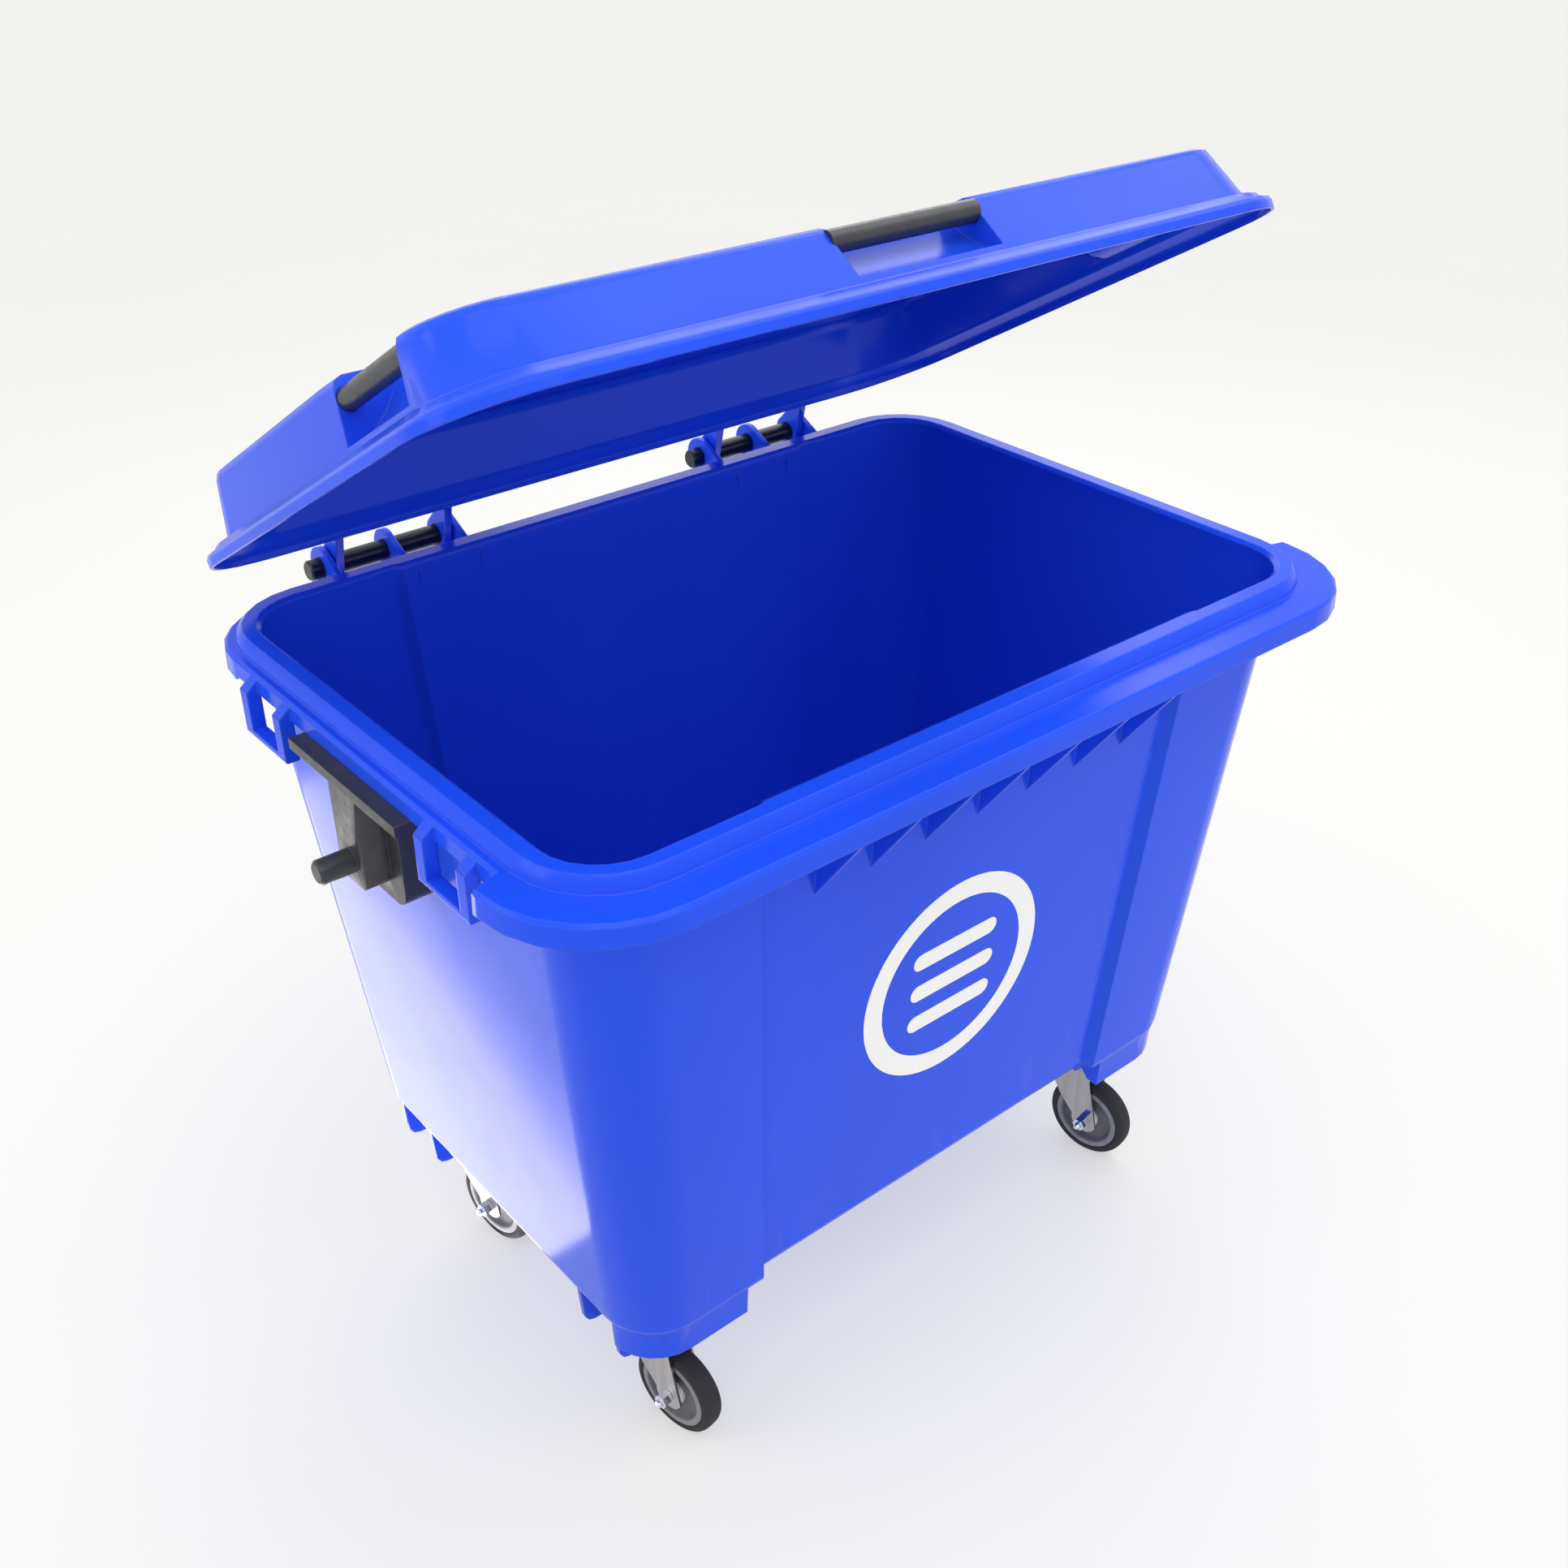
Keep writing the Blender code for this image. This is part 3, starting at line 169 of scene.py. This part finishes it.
# ------------------------------------------------------------------ material helpers
class Nodes:
    """A short way to write a material's node tree."""

    SOCKETS = {"ior": "IOR", "metallic": "Metallic", "specular": "Specular IOR Level",
               "glow_colour": "Emission Color", "glow": "Emission Strength"}

    def __init__(self, name):
        self.material = bpy.data.materials.new(name)
        self.material.use_nodes = True
        self.tree = self.material.node_tree
        self.shader = self.tree.nodes["Principled BSDF"]
        self.coords = self.add("ShaderNodeTexCoord").outputs["Object"]

    def add(self, kind, **values):
        node = self.tree.nodes.new(kind)
        for key, value in values.items():
            setattr(node, key, value)
        return node

    def link(self, source, target):
        self.tree.links.new(source, target)

    def noise(self, scale, detail=4.0, roughness=0.5, stretch=None):
        node = self.add("ShaderNodeTexNoise")
        node.inputs["Scale"].default_value = scale
        node.inputs["Detail"].default_value = detail
        node.inputs["Roughness"].default_value = roughness
        source = self.coords
        if stretch:
            mapping = self.add("ShaderNodeMapping")
            mapping.inputs["Scale"].default_value = stretch
            self.link(source, mapping.inputs["Vector"])
            source = mapping.outputs["Vector"]
        self.link(source, node.inputs["Vector"])
        return node.outputs["Fac"]

    def spread(self, value, low, high, out_low=0.0, out_high=1.0):
        node = self.add("ShaderNodeMapRange")
        for key, number in zip(("From Min", "From Max", "To Min", "To Max"),
                               (low, high, out_low, out_high)):
            node.inputs[key].default_value = number
        self.link(value, node.inputs["Value"])
        return node.outputs["Result"]

    def maths(self, operation, first, second):
        node = self.add("ShaderNodeMath", operation=operation)
        for i, value in enumerate((first, second)):
            if isinstance(value, (int, float)):
                node.inputs[i].default_value = value
            else:
                self.link(value, node.inputs[i])
        return node.outputs[0]

    def mix(self, share, first, second):
        node = self.add("ShaderNodeMix", data_type="RGBA")
        self.link(share, node.inputs["Factor"])
        for socket, value in ((node.inputs[6], first), (node.inputs[7], second)):
            if isinstance(value, (tuple, list)):
                socket.default_value = (*value[:3], 1.0)
            else:
                self.link(value, socket)
        return node.outputs[2]

    def soft_edges(self, radius):
        """A normal that rounds every edge, and how far it has turned from the true one."""
        bevel = self.add("ShaderNodeBevel", samples=4)
        bevel.inputs["Radius"].default_value = radius
        geometry = self.add("ShaderNodeNewGeometry")
        dot = self.add("ShaderNodeVectorMath", operation="DOT_PRODUCT")
        self.link(bevel.outputs["Normal"], dot.inputs[0])
        self.link(geometry.outputs["Normal"], dot.inputs[1])
        return bevel.outputs["Normal"], self.spread(dot.outputs["Value"], 0.995, 0.80)

    def bump(self, height, distance, strength=1.0, normal=None):
        node = self.add("ShaderNodeBump")
        node.inputs["Strength"].default_value = strength
        node.inputs["Distance"].default_value = distance
        self.link(height, node.inputs["Height"])
        if normal is not None:
            self.link(normal, node.inputs["Normal"])
        return node.outputs["Normal"]

    def height(self):
        split = self.add("ShaderNodeSeparateXYZ")
        self.link(self.coords, split.inputs["Vector"])
        return split.outputs["Z"]

    def finish(self, colour, roughness, normal, **fixed):
        self.link(colour, self.shader.inputs["Base Color"])
        self.link(roughness, self.shader.inputs["Roughness"])
        self.link(normal, self.shader.inputs["Normal"])
        for key, value in fixed.items():
            self.shader.inputs[self.SOCKETS[key]].default_value = value
        return self.material


def shade(colour, by):
    return tuple(min(1.0, c * by) for c in colour)


def toward(colour, other, share):
    return tuple(c + (o - c) * share for c, o in zip(colour, other))


def kept(name, make):
    """The material of that name, made on first use."""
    return bpy.data.materials.get(name) or make()


def moulded_plastic():
    """Glossy blue plastic: faint flow marks, orange peel, handling scuffs and paler edges."""
    s = settings()
    base = tuple(s.plastic_colour)
    n = Nodes("moulded_plastic")
    normal, edge = n.soft_edges(s.edge_round)
    flow = n.spread(n.noise(2.2, 3.0, 0.45, (1, 1, 0.35)), 0.32, 0.68)
    colour = n.mix(flow, shade(base, 0.93), shade(base, 1.06))
    scuff = n.spread(n.noise(38.0, 6.0, 0.62, (1, 1, 0.12)), 0.60, 0.78)
    low = n.spread(n.height(), 0.62, 0.22)
    scuff = n.maths("MULTIPLY", scuff, n.maths("MULTIPLY", low, 0.16))
    colour = n.mix(scuff, colour, toward(base, (0.45, 0.50, 0.75), 0.45))
    worn = n.maths("MULTIPLY", edge, n.spread(n.noise(24.0, 5.0, 0.6), 0.30, 0.75, 0.10, 0.34))
    colour = n.mix(worn, colour, toward(base, (0.30, 0.38, 1.0), 0.60))
    patches = n.spread(n.noise(6.0, 5.0, 0.6), 0.30, 0.70, s.plastic_roughness - 0.035,
                       s.plastic_roughness + 0.045)
    roughness = n.maths("ADD", patches, n.maths("MULTIPLY", scuff, 0.8))
    normal = n.bump(n.noise(150.0, 1.0, 0.4), 0.000012, 0.5, normal)
    return n.finish(colour, roughness, normal, ior=PLASTIC_IOR, specular=PLASTIC_SPECULAR)


def cast_material(name, base, roughness, metallic=0.0, edge_pale=0.35):
    """Painted casting: fine grain, mottled gloss and rubbed edges."""
    n = Nodes(name)
    normal, edge = n.soft_edges(CAST_EDGE)
    mottle = n.spread(n.noise(55.0, 5.0, 0.6), 0.30, 0.70)
    colour = n.mix(mottle, shade(base, 0.82), shade(base, 1.18))
    rub = n.spread(n.noise(120.0, 4.0, 0.6), 0.35, 0.70, 0.1, edge_pale)
    rubbed = n.maths("MULTIPLY", edge, rub)
    colour = n.mix(rubbed, colour, toward(base, (0.42, 0.42, 0.42), 0.7))
    rough = n.spread(n.noise(90.0, 4.0, 0.55), 0.3, 0.7, roughness - 0.06, roughness + 0.08)
    normal = n.bump(n.noise(700.0, 3.0, 0.6), 0.00010, 0.7, normal)
    return n.finish(colour, rough, normal, metallic=metallic, ior=1.5)


def casting():
    return cast_material("painted_casting", tuple(settings().casting_colour), 0.36)


def bar_finish():
    return cast_material("grab_bar_plastic", tuple(settings().casting_colour), 0.30)


def pin_finish():
    return cast_material("blackened_pin", tuple(settings().pin_colour), 0.26, 0.4)


def steel_material(name, base, roughness):
    """Plated sheet: rolling streaks, small spots and brighter edges."""
    n = Nodes(name)
    normal, edge = n.soft_edges(STEEL_EDGE)
    streak = n.spread(n.noise(60.0, 6.0, 0.6, (1, 1, 0.08)), 0.3, 0.7)
    colour = n.mix(streak, shade(base, 0.84), shade(base, 1.10))
    spots = n.maths("MULTIPLY", n.spread(n.noise(240.0, 3.0, 0.7), 0.66, 0.80), 0.35)
    colour = n.mix(spots, colour, shade(base, 0.45))
    colour = n.mix(n.maths("MULTIPLY", edge, 0.4), colour, shade(base, 1.5))
    rough = n.spread(n.noise(110.0, 5.0, 0.6, (1, 1, 0.2)), 0.3, 0.7,
                     roughness - 0.05, roughness + 0.08)
    normal = n.bump(n.noise(420.0, 3.0, 0.6, (1, 1, 0.15)), 0.00005, 0.5, normal)
    return n.finish(colour, rough, normal, metallic=1.0)


def fork_steel():
    return steel_material("plated_fork_steel", tuple(settings().steel_colour), 0.15)


def bright_steel():
    return steel_material("bright_plated_steel", tuple(settings().bright_colour), 0.12)


def rim_plastic():
    return cast_material("wheel_rim_plastic", tuple(settings().rim_colour), 0.42, 0.0, 0.5)


def band_plastic():
    return cast_material("wheel_band_plastic", tuple(settings().band_colour), 0.38, 0.0, 0.5)


# painted reflection: the hub ring is coloured pale to show the light it catches
def hub_finish_with_painted_reflection():
    return cast_material("wheel_hub_painted_reflection", tuple(settings().painted_hub_reflection_colour), 0.28, 0.0, 0.4)


def rubber():
    """Tyre rubber: fine grain with thin patches of dust."""
    s = settings()
    base = tuple(s.tyre_colour)
    n = Nodes("tyre_rubber")
    normal = n.soft_edges(RUBBER_EDGE)[0]
    grain = n.spread(n.noise(180.0, 6.0, 0.65), 0.3, 0.7)
    colour = n.mix(grain, shade(base, 0.75), shade(base, 1.45))
    dust = n.maths("MULTIPLY", n.spread(n.noise(45.0, 6.0, 0.7), 0.50, 0.80), 0.10)
    colour = n.mix(dust, colour, (0.20, 0.19, 0.18))
    rough = n.spread(n.noise(130.0, 4.0, 0.6), 0.3, 0.7, 0.31, 0.45)
    normal = n.bump(n.noise(900.0, 3.0, 0.6), 0.00012, 0.6, normal)
    return n.finish(colour, rough, normal, ior=1.5)


def mark_film():
    """White self-adhesive film with a slight weave of dirt and fine creases."""
    base = tuple(settings().mark_colour)
    n = Nodes("mark_film")
    grime = n.spread(n.noise(14.0, 6.0, 0.6), 0.42, 0.80, 0.0, 0.10)
    colour = n.mix(grime, base, (0.60, 0.60, 0.58))
    rough = n.spread(n.noise(60.0, 4.0, 0.5), 0.3, 0.7, 0.30, 0.44)
    normal = n.bump(n.noise(160.0, 3.0, 0.5), 0.00008, 0.5)
    return n.finish(colour, rough, normal, ior=1.45)


def floor_finish():
    """Plain pale floor with the faintest tone change."""
    n = Nodes("floor_matt")
    tone = n.spread(n.noise(0.8, 3.0, 0.5), 0.3, 0.7)
    colour = n.mix(tone, (0.360, 0.358, 0.340), (0.370, 0.368, 0.350))
    rough = n.spread(n.noise(4.0, 3.0, 0.5), 0.3, 0.7, 0.88, 0.94)
    normal = n.bump(n.noise(260.0, 2.0, 0.5), 0.00002, 0.2)
    return n.finish(colour, rough, normal, glow_colour=FLOOR_GLOW_COLOUR, glow=FLOOR_GLOW)


# ------------------------------------------------------------------ mesh helpers
def add_piece(name, mesh, material, body, nodes=()):
    """A named object that rides on a body and stands for its CAD nodes."""
    piece = bpy.data.objects.new(name, mesh)
    bpy.context.scene.collection.objects.link(piece)
    mesh.materials.clear()
    mesh.materials.append(material)
    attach(piece, body)
    if nodes:
        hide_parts(*nodes)
    return piece


def body_of(node):
    return frame["nodes"][node]["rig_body"]


def refined(node, sharp=SHARP):
    """A welded, smoothly shaded copy of a CAD node's mesh."""
    bm = bmesh.new()
    bm.from_mesh(frame["nodes"][node].data)
    bmesh.ops.remove_doubles(bm, verts=bm.verts, dist=1e-6)
    bmesh.ops.dissolve_limit(bm, angle_limit=radians(0.1), verts=bm.verts, edges=bm.edges)
    bmesh.ops.recalc_face_normals(bm, faces=bm.faces)
    mesh = bpy.data.meshes.new(node + "_finish")
    bm.to_mesh(mesh)
    bm.free()
    mesh.shade_smooth()
    mesh.set_sharp_from_angle(angle=radians(sharp))
    return mesh


def refine(node, material, sharp=SHARP):
    """Replaces a CAD node by its refined copy, with face-weighted normals."""
    piece = add_piece(node + "_finish", refined(node, sharp), material, body_of(node),
                      (node,))
    weighted = piece.modifiers.new("even_normals", "WEIGHTED_NORMAL")
    weighted.keep_sharp = True
    weighted.weight = 60
    return piece


def turned(profile, steps, place):
    """A closed profile of (radius, height) turned about Z, then placed by a matrix."""
    bm = bmesh.new()
    rows = []
    for k in range(steps):
        angle = 2 * pi * k / steps
        rows.append([bm.verts.new((r * cos(angle), r * sin(angle), h)) for r, h in profile])
    count = len(profile)
    for k in range(steps):
        here, there = rows[k], rows[(k + 1) % steps]
        for i in range(count):
            j = (i + 1) % count
            bm.faces.new((here[i], there[i], there[j], here[j]))
    bmesh.ops.recalc_face_normals(bm, faces=bm.faces)
    bm.transform(place)
    mesh = bpy.data.meshes.new("turned")
    bm.to_mesh(mesh)
    bm.free()
    mesh.shade_smooth()
    mesh.set_sharp_from_angle(angle=radians(SHARP_TURNED))
    return mesh


def rounded(points, radius, steps=3):
    """A closed profile with each corner cut by a small arc."""
    out = []
    count = len(points)
    for i, point in enumerate(points):
        here = Vector(point)
        back = Vector(points[i - 1]) - here
        on = Vector(points[(i + 1) % count]) - here
        reach = min(radius, back.length * 0.45, on.length * 0.45)
        start, end = here + back.normalized() * reach, here + on.normalized() * reach
        for k in range(steps + 1):
            t = k / steps
            out.append(tuple((1 - t) ** 2 * start + 2 * t * (1 - t) * here + t * t * end))
    return out


def joint(name):
    return next(j for j in frame["joints"] if j["name"] == name)


def axle_place(corner):
    """The matrix that puts a shape turned about Z onto a wheel's axle."""
    spin = joint("spin_" + corner)
    turn = Vector((0, 0, 1)).rotation_difference(Vector(spin["axis"])).to_matrix().to_4x4()
    return Matrix.Translation(Vector(spin["pos_m"])) @ turn


# ------------------------------------------------------------------ pieces
class CONTAINER_OT_studio(bpy.types.Operator):
    """Pale floor, soft lights and the camera"""

    bl_idname = "container.studio"
    bl_label = "Studio"

    def execute(self, context):
        scene = context.scene
        size = settings().floor_size / 2
        mesh = bpy.data.meshes.new("studio_floor")
        mesh.from_pydata([(-size, -size, 0), (size, -size, 0), (size, size, 0), (-size, size, 0)],
                         [], [(0, 1, 2, 3)])
        mesh.materials.append(kept("floor_matt", floor_finish))
        floor = bpy.data.objects.new("studio_floor", mesh)
        floor.location.z = -FLOOR_DROP
        scene.collection.objects.link(floor)

        world = bpy.data.worlds.new("studio_world")
        world.use_nodes = True
        sky = world.node_tree.nodes["Background"]
        sky.inputs["Color"].default_value = SKY_COLOUR
        sky.inputs["Strength"].default_value = SKY_STRENGTH
        scene.world = world

        for lamp in LAMPS:
            self.area(scene, *lamp)
        x, y, z = BOUNCE_PLACE
        bounce = self.area(scene, "bounce", BOUNCE_PLACE, (x, y, z + 1), BOUNCE_WIDTH,
                           BOUNCE_POWER, (1.0, 0.93, 0.97))
        bounce.data.shape = "RECTANGLE"
        bounce.data.size_y = BOUNCE_LENGTH
        bounce.rotation_euler = (pi, 0, radians(BOUNCE_TURN))

        camera = bpy.data.objects.new("studio_camera", bpy.data.cameras.new("studio_camera"))
        scene.collection.objects.link(camera)
        camera.data.lens = CAMERA_LENS
        camera.data.sensor_width = CAMERA_SENSOR
        camera.location = CAMERA_PLACE
        camera.rotation_euler = (radians(90 - CAMERA_DOWN), 0, radians(CAMERA_HEADING))
        scene.camera = camera
        scene.view_settings.view_transform = "Standard"
        return {"FINISHED"}

    def area(self, scene, name, place, aim, size, power, colour):
        """A soft square lamp that the camera doesn't see."""
        lamp = bpy.data.lights.new(name, "AREA")
        lamp.size = size
        lamp.energy = power
        lamp.color = colour
        obj = bpy.data.objects.new(name, lamp)
        obj.location = place
        obj.rotation_euler = (Vector(aim) - Vector(place)).to_track_quat("-Z", "Y").to_euler()
        obj.visible_camera = False
        scene.collection.objects.link(obj)
        return obj


class CONTAINER_OT_shell(bpy.types.Operator):
    """Tub and lid in moulded plastic"""

    bl_idname = "container.shell"
    bl_label = "Tub and lid"

    def execute(self, context):
        for node in ("tub", "lid"):
            refine(node, kept("moulded_plastic", moulded_plastic))
        return {"FINISHED"}


class CONTAINER_OT_bars(bpy.types.Operator):
    """Grab bars, hinge pins and trunnions"""

    bl_idname = "container.bars"
    bl_label = "Bars, pins and trunnions"

    def execute(self, context):
        for side in ("front", "left", "right"):
            refine("lid_grab_bar_" + side, kept("grab_bar_plastic", bar_finish))
        for side in ("left", "right"):
            refine("hinge_pin_" + side, kept("blackened_pin", pin_finish))
            refine("trunnion_" + side, kept("painted_casting", casting))
        return {"FINISHED"}


class CONTAINER_OT_castors(bpy.types.Operator):
    """Forks, plates, pins, nuts and bolts of the castors"""

    bl_idname = "container.castors"
    bl_label = "Castor metalwork"

    def execute(self, context):
        for corner in CORNERS:
            for part in ("castor_plate_", "fork_", "kingpin_"):
                refine(part + corner, kept("plated_fork_steel", fork_steel), SHARP_METAL)
            for part in ("hub_bush_", "axle_bolt_", "axle_nut_"):
                refine(part + corner, kept("bright_plated_steel", bright_steel), SHARP_METAL)
            for i in range(4):
                refine("plate_bolt_%s_%d" % (corner, i + 1),
                       kept("bright_plated_steel", bright_steel), SHARP_METAL)
        return {"FINISHED"}


class CONTAINER_OT_wheels(bpy.types.Operator):
    """Turned rims and tyres"""

    bl_idname = "container.wheels"
    bl_label = "Wheels"

    def execute(self, context):
        steps = settings().wheel_steps
        for corner in CORNERS:
            place = axle_place(corner)
            body = "wheel_" + corner
            add_piece("tyre_finish_" + corner, turned(self.tyre(), steps, place),
                      kept("tyre_rubber", rubber), body, ("tyre_" + corner,))
            add_piece("rim_finish_" + corner, turned(self.rim(), steps, place),
                      kept("wheel_rim_plastic", rim_plastic), body,
                      ("wheel_rim_" + corner,))
            for face, side in (("inner", -1), ("outer", 1)):
                # hub rings carry the painted reflection colour; rims, bands and tyres keep their
                # own colours
                add_piece("hub_ring_%s_%s" % (face, corner), turned(self.hub(side), steps, place),
                          kept("wheel_hub_painted_reflection", hub_finish_with_painted_reflection), body)
                add_piece("rim_band_%s_%s" % (face, corner), turned(self.band(side), steps, place),
                          kept("wheel_band_plastic", band_plastic), body)
        return {"FINISHED"}

    def tyre(self):
        upper = [(0.0573, 0.0146), (0.0588, 0.0158), (0.0610, 0.0165), (0.0640, 0.0162),
                 (0.0668, 0.0149), (0.0690, 0.0126), (0.0704, 0.0094), (0.0710, 0.0052)]
        return upper + [(0.07105, 0.0)] + [(r, -h) for r, h in reversed(upper)]

    def rim(self):
        upper = [(0.0102, 0.0100), (0.0215, 0.0100), (0.0222, 0.0080), (0.0330, 0.0068),
                 (0.0416, 0.0074), (0.0452, 0.0128), (0.0462, 0.0152), (0.0480, 0.0156),
                 (0.0556, 0.0152), (0.0570, 0.0142)]
        return rounded(upper + [(r, -h) for r, h in reversed(upper)], 0.0009, 2)

    def band(self, side):
        points = [(0.0478, 0.0150), (0.0480, 0.0163), (0.0562, 0.0161), (0.0569, 0.0150),
                  (0.0560, 0.0140), (0.0490, 0.0140)]
        return rounded([(r, side * h) for r, h in points], 0.0005, 2)

    def hub(self, side):
        points = [(0.0102, 0.0101), (0.0102, 0.0184), (0.0196, 0.0184), (0.0208, 0.0172),
                  (0.0209, 0.0101)]
        return rounded([(r, side * h) for r, h in points], 0.0006, 2)


class CONTAINER_OT_mark(bpy.types.Operator):
    """Plain white ring and bars on the front panel"""

    bl_idname = "container.mark"
    bl_label = "Panel mark"

    def execute(self, context):
        s = settings()
        foot, top = self.panel_line()
        unit = s.mark_height / 2
        shapes = [self.ring(unit, unit * RING_INSIDE)]
        for level in BAR_LEVELS:
            shapes.append(self.bar(unit * BAR_LENGTH, unit * level, unit * BAR_HEIGHT))
        bm = bmesh.new()
        for rings in shapes:
            self.plate(bm, rings, (s.mark_offset, s.mark_level), foot, top)
        bmesh.ops.recalc_face_normals(bm, faces=bm.faces)
        mesh = bpy.data.meshes.new("panel_mark")
        bm.to_mesh(mesh)
        bm.free()
        add_piece("panel_mark", mesh, kept("mark_film", mark_film), "tub")
        return {"FINISHED"}

    def panel_line(self):
        """Two points (y, z) on the outer face of the front panel at x = 0."""
        tub = frame["nodes"]["tub"].data
        tree = BVHTree.FromPolygons([v.co for v in tub.vertices],
                                    [tuple(p.vertices) for p in tub.polygons])
        found = []
        for z in (0.50, 0.82):
            place = tree.ray_cast(Vector((0.02, -2.0, z)), Vector((0, 1, 0)))[0]
            if place is None:
                raise RuntimeError("the front panel of the tub wasn't found")
            found.append((place.y, place.z))
        return found

    def ring(self, outer, inner, steps=72):
        circle = [(cos(2 * pi * k / steps), sin(2 * pi * k / steps)) for k in range(steps)]
        return tuple([(x * radius, z * radius) for x, z in circle] for radius in (outer, inner))

    def bar(self, width, level, height):
        half, end = width / 2, height / 2
        outline = []
        for sign in (1, -1):
            for k in range(13):
                angle = -pi / 2 + pi * k / 12
                outline.append((sign * (half - end + end * cos(angle)),
                                level + sign * end * sin(angle)))
        return (outline, None)

    def plate(self, bm, rings, middle, foot, top):
        """Film 0.4 mm thick on the leaning panel. Rings hold (x, height) about the middle."""
        (y0, z0), (y1, z1) = foot, top
        out = Vector((0, -(z1 - z0), y1 - y0)).normalized()

        def at(point, lift):
            z = middle[1] + point[1]
            base = Vector((middle[0] + point[0], y0 + (y1 - y0) * (z - z0) / (z1 - z0), z))
            return bm.verts.new(base + out * lift)

        outer, inner = rings
        count = len(outer)
        low = [at(p, FILM_BACK) for p in outer]
        high = [at(p, FILM_FACE) for p in outer]
        for i in range(count):
            j = (i + 1) % count
            bm.faces.new((low[i], low[j], high[j], high[i]))
        if inner is None:
            bm.faces.new(low)
            bm.faces.new(high)
            return
        low_in = [at(p, FILM_BACK) for p in inner]
        high_in = [at(p, FILM_FACE) for p in inner]
        for i in range(count):
            j = (i + 1) % count
            bm.faces.new((low_in[i], low_in[j], high_in[j], high_in[i]))
            bm.faces.new((high[i], high[j], high_in[j], high_in[i]))
            bm.faces.new((low[i], low[j], low_in[j], low_in[i]))


# ------------------------------------------------------------------ panel and registration
OPERATORS = (CONTAINER_OT_studio, CONTAINER_OT_shell, CONTAINER_OT_bars, CONTAINER_OT_castors,
             CONTAINER_OT_wheels, CONTAINER_OT_mark)


class CONTAINER_PT_panel(bpy.types.Panel):
    """Lists the container's operators"""

    bl_idname = "CONTAINER_PT_panel"
    bl_label = "Container"
    bl_space_type = "VIEW_3D"
    bl_region_type = "UI"
    bl_category = "Container"

    def draw(self, context):
        for operator in OPERATORS:
            self.layout.operator(operator.bl_idname)


CLASSES = (ContainerSettings,) + OPERATORS + (CONTAINER_PT_panel,)


def register():
    for cls in CLASSES:
        bpy.utils.register_class(cls)
    bpy.types.Scene.container_looks = PointerProperty(type=ContainerSettings)


def unregister():
    del bpy.types.Scene.container_looks
    for cls in reversed(CLASSES):
        bpy.utils.unregister_class(cls)


def main():
    register()
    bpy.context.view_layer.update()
    for operator in OPERATORS:
        group, name = operator.bl_idname.split(".")
        getattr(getattr(bpy.ops, group), name)()
    bpy.context.view_layer.update()


if __name__ == "__main__":
    main()
